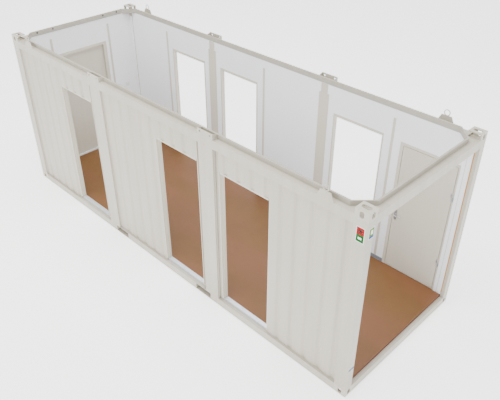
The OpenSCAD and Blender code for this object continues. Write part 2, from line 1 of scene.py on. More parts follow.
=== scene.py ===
# %% [markdown]
# # Finishing a portable site cabin
# The cabin's frame, walls and doors arrive as exact solids in metres: +X runs along the
# cabin to its open end, +Y to its back wall, +Z up. This lesson gives every solid a real
# finish, and adds what a maker fixes on last: gaskets, rivets, weld beads, levers, plugs.
# Shapes could be pushed about by hand, but worked-out surfaces stay tied to the frame.

# %% Load the frame
import math

import bmesh
import bpy
import numpy as np
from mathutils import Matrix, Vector


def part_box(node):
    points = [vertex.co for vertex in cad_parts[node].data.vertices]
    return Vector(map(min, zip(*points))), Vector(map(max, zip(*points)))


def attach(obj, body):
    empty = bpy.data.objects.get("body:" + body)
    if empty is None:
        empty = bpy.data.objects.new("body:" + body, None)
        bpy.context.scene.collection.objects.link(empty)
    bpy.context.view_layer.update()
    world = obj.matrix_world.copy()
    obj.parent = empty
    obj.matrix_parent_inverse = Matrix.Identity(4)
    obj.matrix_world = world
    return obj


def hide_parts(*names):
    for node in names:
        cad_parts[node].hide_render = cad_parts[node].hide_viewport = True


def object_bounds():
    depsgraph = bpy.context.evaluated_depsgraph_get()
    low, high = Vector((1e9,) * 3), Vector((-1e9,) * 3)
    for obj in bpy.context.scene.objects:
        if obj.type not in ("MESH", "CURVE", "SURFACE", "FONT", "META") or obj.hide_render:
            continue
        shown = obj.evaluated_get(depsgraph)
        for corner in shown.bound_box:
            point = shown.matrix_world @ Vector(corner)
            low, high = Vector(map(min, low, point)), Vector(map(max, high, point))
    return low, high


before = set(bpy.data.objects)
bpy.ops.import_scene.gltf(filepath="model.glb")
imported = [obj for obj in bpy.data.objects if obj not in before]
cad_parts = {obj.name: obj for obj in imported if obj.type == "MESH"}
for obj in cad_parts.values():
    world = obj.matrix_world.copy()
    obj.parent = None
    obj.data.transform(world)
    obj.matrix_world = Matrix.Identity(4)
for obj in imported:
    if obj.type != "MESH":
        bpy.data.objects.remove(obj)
cad_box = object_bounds()
print("cabin of", [round(h - l, 3) for l, h in zip(*cad_box)], "metres")

# %% [markdown]
# ## Sums on sockets
# A finish is a sum of patterns. Wiring Math nodes by hand hides the sum, so a small class
# wraps a socket and lets Python's own operators add the nodes: `1 - mask` reads as it works.

# %% A socket that can be added and multiplied
class Wire:
    """One output socket of a material, on which + - * > and < add Math nodes."""

    def __init__(self, finish, socket):
        self.finish, self.socket = finish, socket

    def sum_with(self, operation, first, second):
        return self.finish.node("ShaderNodeMath", {"operation": operation}, {0: first, 1: second})

    def __add__(self, other): return self.sum_with("ADD", self, other)
    def __radd__(self, other): return self.sum_with("ADD", other, self)
    def __sub__(self, other): return self.sum_with("SUBTRACT", self, other)
    def __rsub__(self, other): return self.sum_with("SUBTRACT", other, self)
    def __mul__(self, other): return self.sum_with("MULTIPLY", self, other)
    def __rmul__(self, other): return self.sum_with("MULTIPLY", other, self)
    def __gt__(self, other): return self.sum_with("GREATER_THAN", self, other)
    def __lt__(self, other): return self.sum_with("LESS_THAN", self, other)

# %% [markdown]
# ## One material at a time
# `Finish` holds a material. Its one generic method makes any node: the settings come
# first, because a Mix node has other sockets once its data type is set.

# %% A material under construction
class Finish:
    """A material whose nodes are made by one method."""

    def __init__(self, name):
        self.material = bpy.data.materials.new(name)
        self.material.use_nodes = True
        self.tree = self.material.node_tree
        self.tree.nodes.clear()
        self.place = self.node("ShaderNodeTexCoord", out="Object")

    def node(self, kind, settings=None, inputs=None, out=0):
        """Adds a node: its settings, then values or wires for its inputs; returns one output."""
        made = self.tree.nodes.new(kind)
        for key, value in (settings or {}).items():
            setattr(made, key, value)
        for key, value in (inputs or {}).items():
            if isinstance(value, Wire):
                self.tree.links.new(value.socket, made.inputs[key])
            elif isinstance(value, tuple) and len(value) == 3 and made.inputs[key].type == "RGBA":
                made.inputs[key].default_value = (*value, 1)
            else:
                made.inputs[key].default_value = value
        return None if out is None else Wire(self, made.outputs[out])

    def noise(self, scale, detail=3.0, roughness=0.5, stretch=(1, 1, 1), lift=0.0):
        """Cloudy noise from 0 to 1 on Object coordinates, in features per metre."""
        place = self.node("ShaderNodeMapping", None, {
            "Vector": self.place, "Scale": stretch, "Location": (lift, lift, lift)})
        return self.node("ShaderNodeTexNoise", None, {
            "Vector": place, "Scale": scale, "Detail": detail, "Roughness": roughness})

    def band(self, wire, low, high):
        """0 below low, 1 above high, and a smooth step between them."""
        return self.node("ShaderNodeMapRange", {"interpolation_type": "SMOOTHSTEP"}, {
            "Value": wire, "From Min": low, "From Max": high})

    def axis(self, letter):
        """The X, Y or Z of the point being shaded, in metres."""
        return self.node("ShaderNodeSeparateXYZ", None, {0: self.place}, out=letter)

    def blend(self, share, first, second):
        """A colour that goes from first to second as share goes from 0 to 1."""
        return self.node("ShaderNodeMix", {"data_type": "RGBA"}, {
            0: share, 6: first, 7: second}, out=2)

    def bump(self, height, distance):
        """A normal tilted as if the surface rose by distance where height goes from 0 to 1."""
        return self.node("ShaderNodeBump", None, {
            "Height": height, "Distance": distance, "Strength": 1.0})

    def close(self, **sockets):
        """Adds the shader with its sockets and the output, and gives back the material."""
        named = {key.replace("_", " "): value for key, value in sockets.items()}
        shader = self.node("ShaderNodeBsdfPrincipled", None, named)
        self.node("ShaderNodeOutputMaterial", None, {"Surface": shader}, out=None)
        print("finish", self.material.name)
        return self.material

# %% [markdown]
# ## Paint
# The frame and the cladding are steel with a pearl-grey coat. Sprayed paint has a faint
# orange-peel surface, chalks a little in streaks that run down, and gathers grime near the
# ground. Each of these is one noise on the piece's own coordinates, so it stays with it.

# %% Coated steel
def coated_steel(name, colour, streaks=0.03, grime=0.10, peel=0.0004):
    """Paint = base colour, less the streaks, less grime that fades out above the ground."""
    paint = Finish(name)
    streak = paint.noise(9.0, 4.0, 0.6, (1, 1, 0.06))
    cloud = paint.noise(1.3, 3.0, 0.5, lift=3.0)
    height = paint.axis("Z")
    low = (1 - paint.band(height, 0.02, 0.55)) * paint.noise(6.0, 5.0, 0.7, (1, 1, 0.3))
    specks = paint.band(paint.noise(55.0, 2.0, 0.5, lift=7.0), 0.74, 0.80)
    pale = tuple(min(1.0, c * (1 + streaks)) for c in colour)
    worn = tuple(c * (1 - 2.2 * streaks) for c in colour)
    dirt = (colour[0] * 0.52, colour[1] * 0.48, colour[2] * 0.42)
    base = paint.blend(paint.band(streak * 0.6 + cloud * 0.4, 0.35, 0.65), pale, worn)
    base = paint.blend(low * grime * 2.0 + specks * 0.10, base, dirt)
    skin = paint.noise(420.0, 2.0, 0.5)
    return paint.close(
        Base_Color=base, Roughness=0.40 + streak * 0.16 + low * 0.2, Metallic=0.0,
        Coat_Weight=0.12, Coat_Roughness=0.35, IOR=1.5,
        Normal=paint.bump(skin, peel))


frame_paint = coated_steel("frame_coating", (0.505, 0.468, 0.385))
# The kerbs wear the frame paint darkened: painted shade for the shaded kerb faces.
kerb_shaded_paint = coated_steel("kerb_coating_painted_shade", (0.415, 0.385, 0.316), grime=0.02)
cladding_paint = coated_steel("cladding_coating", (0.500, 0.463, 0.380), streaks=0.025)
door_paint = coated_steel("door_coating", (0.590, 0.552, 0.462), streaks=0.012, grime=0.03)
trim_paint = coated_steel("beige_trim_coating", (0.590, 0.552, 0.462), streaks=0.015,
                          grime=0.02)

# %% [markdown]
# ## Cast steel
# The corner castings wear the same paint over a sand-cast skin, which is rough enough to
# see: a coarser bump, and edges of slots that chains have rubbed darker.

# %% Painted castings
def cast_coating(name, colour):
    """Paint over a cast skin: coarse bump = lumps + grains, with rubbed darker patches."""
    paint = Finish(name)
    lumps = paint.noise(38.0, 4.0, 0.6)
    grains = paint.noise(260.0, 2.0, 0.5)
    rubbed = paint.band(paint.noise(17.0, 5.0, 0.7, lift=2.0), 0.56, 0.74)
    worn = tuple(c * 0.72 for c in colour)
    return paint.close(
        Base_Color=paint.blend(rubbed * 0.35, colour, worn), Roughness=0.46 + rubbed * 0.15,
        Metallic=0.0, Coat_Weight=0.08, Coat_Roughness=0.4,
        Normal=paint.bump(lumps * 0.7 + grains * 0.3, 0.0016))


casting_paint = cast_coating("casting_coating", (0.530, 0.492, 0.406))

# %% [markdown]
# ## Boards and floor
# The lining boards have a white foil with a fine leather grain. The floor covering is a
# brown, mottled sheet on dark-edged board: the edge of the deck shows at the open end, so
# the finish turns dark red-brown below the covering.

# %% Lining boards
def foil_board(name, colour):
    """A foil-faced board: fine cellular grain as bump, and the faintest cloud in its white."""
    foil = Finish(name)
    grain = foil.node("ShaderNodeTexVoronoi", {"feature": "SMOOTH_F1"}, {
        "Vector": foil.place, "Scale": 210.0}, out="Distance")
    cloud = foil.band(foil.noise(0.9, 3.0, 0.5), 0.35, 0.7)
    shade = tuple(c * 0.965 for c in colour)
    scuff = foil.band(foil.noise(14.0, 6.0, 0.75, (1, 1, 0.25), lift=5.0), 0.66, 0.78)
    low = 1 - foil.band(foil.axis("Z"), 0.25, 1.1)
    base = foil.blend(cloud, colour, shade)
    base = foil.blend(scuff * low * 0.25, base, tuple(c * 0.7 for c in colour))
    return foil.close(Base_Color=base, Roughness=0.50 + scuff * 0.1, Metallic=0.0,
                      Normal=foil.bump(grain, 0.0005))


white_lining = foil_board("white_lining_foil", (0.90, 0.915, 0.94))

# %% Floor covering
floor_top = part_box("floor_deck")[1].z
sheet_t = 0.004


def floor_finish(name):
    """Covering = brown with reddish patches, clouds and flecks; dark board below it."""
    floor = Finish(name)
    cloud = floor.band(floor.noise(2.1, 5.0, 0.62), 0.30, 0.72)
    flecks = floor.band(floor.noise(34.0, 4.0, 0.72, lift=4.0), 0.42, 0.66)
    dark = floor.band(floor.noise(11.0, 5.0, 0.68, lift=9.0), 0.55, 0.75)
    patch = floor.band(floor.noise(0.8, 2.0, 0.5, (0.5, 1.6, 1), lift=6.0), 0.40, 0.60)
    base = floor.blend(cloud * 0.6, (0.125, 0.052, 0.009), (0.160, 0.068, 0.013))
    base = floor.blend(patch * 0.75, base, (0.166, 0.060, 0.020))
    base = floor.blend(flecks * 0.25, base, (0.185, 0.082, 0.023))
    base = floor.blend(dark * 0.25, base, (0.082, 0.028, 0.007))
    below = floor.axis("Z") < floor_top - sheet_t
    layers = floor.noise(60.0, 3.0, 0.6, (0.15, 0.15, 4.0))
    board = floor.blend(floor.band(layers, 0.4, 0.6), (0.085, 0.012, 0.002), (0.13, 0.022, 0.004))
    base = floor.blend(below, base, board)
    grain = floor.noise(150.0, 3.0, 0.6)
    return floor.close(Base_Color=base, Roughness=0.44 + flecks * 0.12, Metallic=0.0,
                       Coat_Weight=0.06, Coat_Roughness=0.3,
                       Normal=floor.bump(grain, 0.0006))


floor_covering = floor_finish("floor_covering_sheet")

# %% [markdown]
# ## Small finishes
# Rubber, bare metal and mouldings cover little, but they are what the eye checks up close:
# brushed metal needs grain along the bar, rubber needs a dusty bloom, plastic a fine sheen.

# %% Rubber, metal and plastic
def rubber_finish(name, colour):
    """Rubber = a dark colour with a pale dusty bloom in clouds, and a matt fine grain."""
    rubber = Finish(name)
    bloom = rubber.band(rubber.noise(24.0, 4.0, 0.6), 0.4, 0.75)
    pale = tuple(c * 0.8 + 0.08 for c in colour)
    return rubber.close(Base_Color=rubber.blend(bloom * 0.5, colour, pale),
                        Roughness=0.72 + bloom * 0.15, Metallic=0.0,
                        Normal=rubber.bump(rubber.noise(500.0, 2.0), 0.0003))


def brushed_metal(name, colour, stretch=(1, 1, 1), roughness=0.34):
    """Metal = grain drawn out along one axis, in roughness and in bump, with dull smears."""
    metal = Finish(name)
    grain = metal.noise(300.0, 2.0, 0.6, stretch)
    smear = metal.band(metal.noise(15.0, 4.0, 0.6), 0.45, 0.75)
    dull = tuple(c * 0.72 for c in colour)
    return metal.close(Base_Color=metal.blend(smear * 0.5, colour, dull), Metallic=1.0,
                       Roughness=grain * 0.18 + smear * 0.12 + roughness,
                       Normal=metal.bump(grain, 0.0002))


def moulded_plastic(name, colour, roughness=0.35):
    """A moulding = one colour, faintly clouded, with the fine spark grain of its tool."""
    plastic = Finish(name)
    cloud = plastic.noise(30.0, 3.0, 0.5)
    shade = tuple(c * 0.93 for c in colour)
    return plastic.close(Base_Color=plastic.blend(cloud, colour, shade), Metallic=0.0,
                         Roughness=cloud * 0.10 + roughness,
                         Normal=plastic.bump(plastic.noise(700.0, 2.0), 0.00015))


amber_seal = rubber_finish("amber_seal_rubber", (0.52, 0.235, 0.030))
# The grey gasket's colour is painted shade: the grey of the shaded step at the kerb's foot.
grey_seal_painted_shade = rubber_finish("grey_gasket_rubber_painted_shade", (0.40, 0.378, 0.330))
joint_sealant = rubber_finish("joint_sealant", (0.50, 0.475, 0.420))
dark_seal = rubber_finish("dark_gasket_rubber", (0.055, 0.055, 0.06))
hardware_metal = brushed_metal("satin_hardware", (0.44, 0.45, 0.47), (1, 1, 0.1))
zinc_metal = brushed_metal("zinc_fixings", (0.62, 0.62, 0.60), roughness=0.30)
sill_metal = brushed_metal("threshold_plate", (0.80, 0.83, 0.88), (0.05, 1, 1), 0.36)
switch_plastic = moulded_plastic("switch_moulding", (0.80, 0.80, 0.78), 0.28)
skirting_plastic = moulded_plastic("skirting_moulding", (0.19, 0.205, 0.235), 0.42)
plug_plastic = moulded_plastic("plug_moulding", (0.72, 0.27, 0.06), 0.40)

# %% [markdown]
# ## Dressing the solids
# A solid whose shape is right keeps its shape and only changes its coat. The table says
# which finish each one wears.

# %% Give each solid its finish
WEARS = {
    "long_base_rails": frame_paint, "end_base_rails": frame_paint, "fork_pockets": frame_paint,
    "floor_joists": frame_paint, "floor_deck": floor_covering,
    "bottom_castings": casting_paint, "corner_posts": frame_paint, "middle_posts": frame_paint,
    "top_castings": casting_paint, "long_top_rails": frame_paint, "end_top_rails": frame_paint,
    "rain_kerbs": kerb_shaded_paint, "corner_plates": frame_paint, "top_brackets": frame_paint,
    "lifting_plates": frame_paint, "lifting_rings": casting_paint,
    "front_wall_panels": cladding_paint,
    "front_wall_headers": cladding_paint, "back_wall_panels": cladding_paint,
    "back_wall_headers": cladding_paint, "end_wall_panels": cladding_paint,
    "end_wall_header": cladding_paint, "front_linings": white_lining,
    "back_linings": white_lining, "end_linings": white_lining, "header_linings": white_lining,
    "joint_strips": trim_paint, "post_covers": trim_paint, "end_seals": amber_seal,
    "front_jambs": trim_paint, "back_jambs": trim_paint, "door_heads": trim_paint,
    "thresholds": sill_metal, "skirting": skirting_plastic, "back_door_frame": trim_paint,
    "back_door_leaf": door_paint, "back_door_handles": hardware_metal,
    "back_door_hinges": hardware_metal, "back_hinge_knuckles": hardware_metal,
    "end_door_frame": trim_paint, "end_door_leaf": door_paint,
    "end_door_handles": hardware_metal, "end_door_hinges": hardware_metal,
    "end_hinge_knuckles": hardware_metal, "switch_plate": switch_plastic,
}
for node, finish in WEARS.items():
    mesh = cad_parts[node].data
    mesh.materials.clear()
    mesh.materials.append(finish)
print(len(WEARS), "of", len(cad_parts), "solids dressed")

# %% [markdown]
# ## Surfaces from arrays
# Every added shape is a grid of points: a function of two parameters. The faces of a grid
# follow from its rows and columns, so one helper serves domes, beads, levers and gaskets.
# Numpy works out a whole grid, or a whole row of rivets, at once.

# %% Grids and rows of grids
def grid(points, wrap_rows=False, wrap_columns=False):
    """A surface (points, faces) from rows x columns x 3 points; wrapping joins its ends."""
    rows, columns = points.shape[:2]
    index = np.arange(rows * columns).reshape(rows, columns)
    if wrap_rows:
        index = np.vstack([index, index[:1]])
    if wrap_columns:
        index = np.hstack([index, index[:, :1]])
    faces = np.stack([index[:-1, :-1], index[:-1, 1:], index[1:, 1:], index[1:, :-1]], -1)
    return points.reshape(-1, 3).astype(float), faces.reshape(-1, 4)


def turned(profile, segments=16):
    """A closed turning about Z: x = r cos(a), y = r sin(a), z = h, for (r, h) in the profile."""
    angle = np.linspace(0, 2 * math.pi, segments, endpoint=False)
    r, h = np.asarray(profile, float).T
    points = np.stack([np.outer(r, np.cos(angle)), np.outer(r, np.sin(angle)),
                       np.repeat(h[:, None], segments, 1)], -1)
    return grid(points, wrap_columns=True)


def moved(shape, matrix=np.eye(3), offset=(0, 0, 0)):
    """The shape with each point p put at matrix p + offset."""
    return shape[0] @ np.asarray(matrix, float).T + np.asarray(offset, float), shape[1]


def row_of(shape, places):
    """The shape copied to every place, as one surface: points + place, faces + offset."""
    places = np.asarray(places, float).reshape(-1, 3)
    points = (shape[0][None] + places[:, None]).reshape(-1, 3)
    step = np.arange(len(places))[:, None, None] * len(shape[0])
    return points, (shape[1][None] + step).reshape(-1, 4)


def joined(*shapes):
    """Several surfaces as one."""
    starts = np.cumsum([0] + [len(s[0]) for s in shapes[:-1]])
    return (np.vstack([s[0] for s in shapes]),
            np.vstack([s[1] + start for s, start in zip(shapes, starts)]))


def facing(x_axis, y_axis):
    """A matrix whose columns are where X, Y and Z go: two given axes and their cross."""
    x_axis, y_axis = np.asarray(x_axis, float), np.asarray(y_axis, float)
    return np.stack([x_axis, y_axis, np.cross(x_axis, y_axis)], -1)


TO_FRONT = facing((1, 0, 0), (0, 0, 1))       # Z of the shape looks along -Y
TO_BACK = facing((-1, 0, 0), (0, 0, 1))       # ... along +Y
TO_OPEN_END = facing((0, 1, 0), (0, 0, 1))    # ... along +X
TO_SHUT_END = facing((0, -1, 0), (0, 0, 1))   # ... along -X

# %% [markdown]
# ## From surface to piece
# `from_pydata` takes the arrays. Doubles at poles and seams are merged, so that poles
# close, and the normals are worked out again, so that a mirrored copy isn't inside out.

# %% Make a piece
def make_piece(name, shape, finish, body="cabin", crease=35):
    """Puts a surface into a new object that rides on a body, smooth up to the crease angle."""
    mesh = bpy.data.meshes.new(name)
    mesh.from_pydata(shape[0], [], shape[1].tolist())
    work = bmesh.new()
    work.from_mesh(mesh)
    bmesh.ops.remove_doubles(work, verts=work.verts, dist=1e-6)
    bmesh.ops.dissolve_degenerate(work, edges=work.edges, dist=1e-7)
    bmesh.ops.recalc_face_normals(work, faces=work.faces)
    work.to_mesh(mesh)
    work.free()
    mesh.materials.append(finish)
    mesh.shade_smooth()
    mesh.set_sharp_from_angle(angle=math.radians(crease))
    piece = bpy.data.objects.new(name, mesh)
    bpy.context.scene.collection.objects.link(piece)
    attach(piece, body)
    print(name, len(mesh.polygons), "faces")
    return piece


def along(profile, path, depth=(0, 0, 1), closed=False):
    """A profile (u, w) carried along a flat path, mitred at corners and capped if open.

    At each corner the offset is u (n1 + n2) / (1 + n1.n2), with n the path's left normals
    in its own plane, and w runs along depth, which is square to that plane.
    """
    path, depth = np.asarray(path, float), np.asarray(depth, float)
    step = np.roll(path, -1, 0) - path if closed else np.diff(path, axis=0)
    step = step / np.linalg.norm(step, axis=1, keepdims=True)
    left = np.cross(depth, step)
    before = np.roll(left, 1, 0) if closed else np.vstack([left[:1], left])
    after = left if closed else np.vstack([left, left[-1:]])
    mitre = (before + after) / (1 + np.sum(before * after, 1, keepdims=True))
    u, w = np.asarray(profile, float).T
    points = path[:, None] + mitre[:, None] * u[None, :, None] + depth * w[None, :, None]
    if not closed:
        first, last = points[:1].mean(1, keepdims=True), points[-1:].mean(1, keepdims=True)
        points = np.concatenate([np.repeat(first, len(u), 1), points,
                                 np.repeat(last, len(u), 1)])
    return grid(points, wrap_rows=closed, wrap_columns=True)


def rounded(width, height, radius, steps=4):
    """Outline of a rounded rectangle round the origin: four quarter circles, anticlockwise."""
    quarter = np.linspace(0, math.pi / 2, steps + 1)
    corners = [(1, 1, 0), (-1, 1, 1), (-1, -1, 2), (1, -1, 3)]
    points = [np.stack([sx * (width / 2 - radius) + radius * np.cos(quarter + k * math.pi / 2),
                        sy * (height / 2 - radius) + radius * np.sin(quarter + k * math.pi / 2)],
                       -1) for sx, sy, k in corners]
    return np.vstack(points)


def cushioned_plate(width, height, thickness, radius, edge):
    """A plate on z = 0 with a rounded outline and a rolled edge.

    Its outline shrinks by edge (1 - cos t) as it rises by edge sin t, and closes to a pole.
    """
    turn = np.linspace(0, math.pi / 2, 5)
    rings = [np.zeros((4 * 5, 3))]
    for shrink, z in [(0, 0)] + [(edge * (1 - math.cos(t)), thickness - edge + edge * math.sin(t))
                                 for t in turn]:
        outline = rounded(width - 2 * shrink, height - 2 * shrink, max(radius - shrink, 1e-4))
        rings.append(np.column_stack([outline, np.full(len(outline), z)]))
    rings.append(np.tile([0, 0, thickness], (4 * 5, 1)))
    return grid(np.stack(rings), wrap_columns=True)

# %% [markdown]
# ## Planes to work from
# Every place is read from the solids' own boxes, so the pieces follow the frame.

# %% Read the planes of the cabin
rail_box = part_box("long_top_rails")
half_w = rail_box[1].y
half_l = cad_box[1].x
rail_low = rail_box[0].z
kerb_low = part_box("rain_kerbs")[0].z
kerb_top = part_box("rain_kerbs")[1].z
ledge_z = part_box("top_brackets")[0].z
post_in_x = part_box("long_base_rails")[1].x
base_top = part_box("long_base_rails")[1].z
post_in_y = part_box("end_top_rails")[1].y
clad_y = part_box("back_wall_panels")[1].y
clad_x = -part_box("end_wall_panels")[0].x
lining_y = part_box("back_linings")[0].y
lining_x = -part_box("end_linings")[1].x
mid_x = half_l / 3
mid_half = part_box("middle_posts")[1].x - mid_x
opening_w, opening_offset = 0.880, 0.200
head_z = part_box("back_jambs")[1].z
front_doorways = [-mid_x - opening_offset - opening_w, mid_x - opening_offset - opening_w,
                  mid_x + opening_offset]
back_doorways = [-mid_x - opening_offset - opening_w, -mid_x + opening_offset,
                 mid_x + opening_offset]
print("planes at", [round(v, 4) for v in (half_l, half_w, clad_y, lining_y, kerb_low, kerb_top)])

# %% [markdown]
# ## Kerb gasket
# A rubber strip closes the step at the foot of the rain kerb, all the way round inside. Its
# grey is painted shade, the darkness of that shaded step. It is one profile carried along a
# closed path of eight corners, mitred at each.

# %% Make the kerb gasket
kerb_x, kerb_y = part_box("rain_kerbs")[1].x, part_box("rain_kerbs")[1].y
kerb_corner, kerb_t, kerb_step = 0.208, 0.024, 0.003
inner_x, inner_y = kerb_x - kerb_t + kerb_step, kerb_y - kerb_t + kerb_step
corner_x, corner_y = kerb_x - kerb_corner, kerb_y - kerb_corner
first_quarter = np.array([[inner_x, corner_y], [corner_x, inner_y]])
octagon = np.vstack([first_quarter, first_quarter[::-1] * [-1, 1], -first_quarter,
                     first_quarter[::-1] * [1, -1]])
octagon = np.column_stack([octagon, np.full(8, kerb_low)])
strip_low, strip_high, strip_proud = 0.003, 0.034, 0.0035
bulge = np.linspace(0, math.pi, 9)
gasket_profile = np.column_stack([
    strip_proud * (0.35 + 0.65 * np.abs(np.sin(bulge * 2))),
    strip_low + (strip_high - strip_low) * bulge / math.pi])
gasket_profile = np.vstack([gasket_profile, [[0.0002, strip_high], [0.0002, strip_low]]])
make_piece("kerb_gasket", along(gasket_profile, octagon, closed=True), grey_seal_painted_shade)

# %% [markdown]
# ## Sealant between the cladding and the posts
# Where each panel meets a post a fitter runs a bead of sealant. A quarter-round bead fills
# the corner: it is carried up the corner as a profile with five points on its arc.

# %% Make the sealant beads
def corner_bead(start, end, first, second, size):
    """A bead with a quarter-round section in the corner between directions first and second.

    Section points are size (first cos t + second sin t) for t from 0 to 90 degrees,
    and the corner itself, drawn at both ends of the line and closed to its middle.
    """
    t = np.linspace(0, math.pi / 2, 5)
    first, second = np.asarray(first, float), np.asarray(second, float)
    arc = size * (np.cos(t)[:, None] * first + np.sin(t)[:, None] * second)
    section = np.vstack([[[0, 0, 0]], arc])
    middle = np.repeat(section.mean(0, keepdims=True), len(section), 0)
    start, end = np.asarray(start, float), np.asarray(end, float)
    return grid(np.stack([start + middle, start + section, end + section, end + middle]),
                wrap_columns=True)


bead = 0.007
edges = [(-post_in_x, 1), (-mid_x - mid_half, -1), (-mid_x + mid_half, 1),
         (mid_x - mid_half, -1), (mid_x + mid_half, 1), (post_in_x, -1)]
beads = [corner_bead((x, side * clad_y, base_top), (x, side * clad_y, rail_low),
                     (inward, 0, 0), (0, side, 0), bead)
         for side in (-1, 1) for x, inward in edges]
beads += [corner_bead((-clad_x, side * post_in_y, base_top),
                      (-clad_x, side * post_in_y, rail_low), (-1, 0, 0), (0, -side, 0), bead)
          for side in (-1, 1)]
make_piece("sealant_beads", joined(*beads), joint_sealant, crease=60)

# %% [markdown]
# ## Rivets
# Blind rivets hold the cladding at its foot and under the top rail, one on each rib. A
# rivet's head is a dome turned about its own axis, and numpy copies it to every place.

# %% Make the rivets
def dome(radius, height, rings=4, segments=12):
    """A domed head: r = radius cos t, h = height sin t, with a closed flat back."""
    t = np.linspace(0, math.pi / 2, rings + 1)
    return turned([(0, 0)] + list(zip(radius * np.cos(t), height * np.sin(t))), segments)


rib_pitch, rib_margin, door_margin = 0.234, 0.03, 0.01
rivet_down, rivet_up = 0.022, 0.03
rivet = dome(0.0065, 0.0028)


def rib_places(x0, x1, bay_middle):
    """Middles of the ribs between x0 and x1: bay middle + pitch (3/4 + n), n a whole number."""
    x = bay_middle + rib_pitch * (0.75 + np.arange(-8, 9))
    return x[(x > x0 + rib_margin) & (x < x1 - rib_margin)]


def wall_rivets(doorways, last_x):
    """Places (x, z) of the rivets of one long wall, bay by bay, clear of its doorways."""
    bays = [(-post_in_x, -mid_x - mid_half), (-mid_x + mid_half, mid_x - mid_half),
            (mid_x + mid_half, post_in_x)]
    places = []
    for (low, high), door in zip(bays, doorways):
        x = rib_places(low, high, (low + high) / 2)
        places += [(v, rail_low - rivet_down) for v in x]
        solid = (x < door - door_margin) | (x > door + opening_w + door_margin)
        places += [(v, base_top + rivet_up) for v in x[solid & (x < last_x)]]
        places += [(v, head_z + rivet_up) for v in x[~solid]]
    return np.array(places)


front_holes = wall_rivets(front_doorways, post_in_x)
back_holes = wall_rivets(back_doorways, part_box("back_door_frame")[0].x)
front_rivets = row_of(moved(rivet, TO_FRONT), np.column_stack(
    [front_holes[:, 0], np.full(len(front_holes), -clad_y), front_holes[:, 1]]))
back_rivets = row_of(moved(rivet, TO_BACK), np.column_stack(
    [back_holes[:, 0], np.full(len(back_holes), clad_y), back_holes[:, 1]]))
make_piece("cladding_rivets", joined(front_rivets, back_rivets), zinc_metal)

# %% [markdown]
# ## Weld beads
# Brackets, lifting plates and castings are welded on. A hand-run bead shows the small
# waves of its passes, so its radius swings with the distance along it.

# %% Make the weld beads
def weld(start, end, first, second, size=0.005, wave=0.007):
    """A rippled fillet: radius = size (1 + 0.14 sin(2 pi s / wave)) along the distance s."""
    start, end = np.asarray(start, float), np.asarray(end, float)
    first, second = np.asarray(first, float), np.asarray(second, float)
    length = np.linalg.norm(end - start)
    s = np.linspace(0, length, max(4, int(length / wave * 5)))
    radius = size * (1 + 0.14 * np.sin(2 * math.pi * s / wave))
    radius[[0, -1]] = 0
    t = np.linspace(0, math.pi / 2, 5)
    arc = np.cos(t)[:, None] * first + np.sin(t)[:, None] * second
    section = np.vstack([[[0, 0, 0]], arc])
    line = start + (end - start) * (s / length)[:, None]
    return grid(line[:, None] + radius[:, None, None] * section[None], wrap_columns=True)


quarters = [(sx, sy) for sx in (-1, 1) for sy in (-1, 1)]
bracket_half, bracket_t = 0.140, 0.008
plate_half, plate_thick, casting_deep = 0.1175, 0.008, 0.150
eye_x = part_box("lifting_plates")[1].x - plate_half
casting_in_y = half_w - casting_deep
beads = []
for sx, sy in quarters:
    back_of_bracket = sy * (half_w - bracket_t)
    beads.append(weld((sx * mid_x - bracket_half, back_of_bracket, ledge_z),
                      (sx * mid_x + bracket_half, back_of_bracket, ledge_z),
                      (0, -sy, 0), (0, 0, 1)))
    for end in (-1, 1):
        web_x = sx * mid_x + end * bracket_half
        beads.append(weld((web_x, sy * half_w, ledge_z), (web_x, sy * kerb_y, ledge_z),
                          (end, 0, 0), (0, 0, 1)))
    foot_y = sy * (half_w - plate_thick)
    beads.append(weld((sx * eye_x - plate_half, foot_y, ledge_z),
                      (sx * eye_x + plate_half, foot_y, ledge_z), (0, -sy, 0), (0, 0, 1)))
    beads.append(weld((sx * post_in_x, sy * half_w, ledge_z),
                      (sx * post_in_x, sy * casting_in_y, ledge_z), (-sx, 0, 0), (0, 0, 1)))
    beads.append(weld((sx * post_in_x, sy * casting_in_y, ledge_z),
                      (sx * half_l, sy * casting_in_y, ledge_z), (0, -sy, 0), (0, 0, 1)))
make_piece("weld_beads", joined(*beads), casting_paint, crease=80)

# %% [markdown]
# ## Plugs and grommets
# An orange plug closes the drain hole over each middle post, and four rubber grommets line
# the cable holes in the kerb of the shut end. Both are turned shapes.

# %% Make the plugs and grommets
plug = turned([(0, 0), (0.0085, 0), (0.0085, 0.0012), (0.0070, 0.0024), (0.0040, 0.0028),
               (0.0035, 0.0018), (0, 0.0018)], 20)
plug_z, plug_inset = rail_low + 0.010, 0.0225
plugs = joined(
    row_of(moved(plug, TO_FRONT), [(s * (mid_x - plug_inset), -half_w, plug_z) for s in (-1, 1)]),
    row_of(moved(plug, TO_BACK), [(s * (mid_x - plug_inset), half_w, plug_z) for s in (-1, 1)]))
make_piece("drain_plugs", plugs, plug_plastic)

grommet = turned([(0, 0.0006), (0.0075, 0.0006), (0.0085, 0.0035), (0.0115, 0.0042),
                  (0.0150, 0.0030), (0.0160, 0), (0, 0)], 24)
grommet_z, grommet_lines = kerb_top - 0.030, (-0.815, -0.515, 0.515, 0.815)
make_piece("cable_grommets", row_of(moved(grommet, TO_OPEN_END), [
    (-(kerb_x - kerb_t), y, grommet_z) for y in grommet_lines]), dark_seal)

# %% [markdown]
# ## Boards and stickers on the posts
# The insides of the posts at the open end wear the same white board as the walls, cut
# clear of the seal. The board is a plate with a rolled edge, laid on the post twice: once
# thin, once thicker, so that the step between them shows as a line.

# %% Make the post boards
seal_low_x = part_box("end_seals")[0].x
board_thick, board_edge, seal_clear, board_gap = 0.002, 0.0008, 0.004, 0.006
board_lap, split_back = 0.020, 0.012
board_tall = rail_low + board_lap - floor_top
board_z = floor_top + board_tall / 2


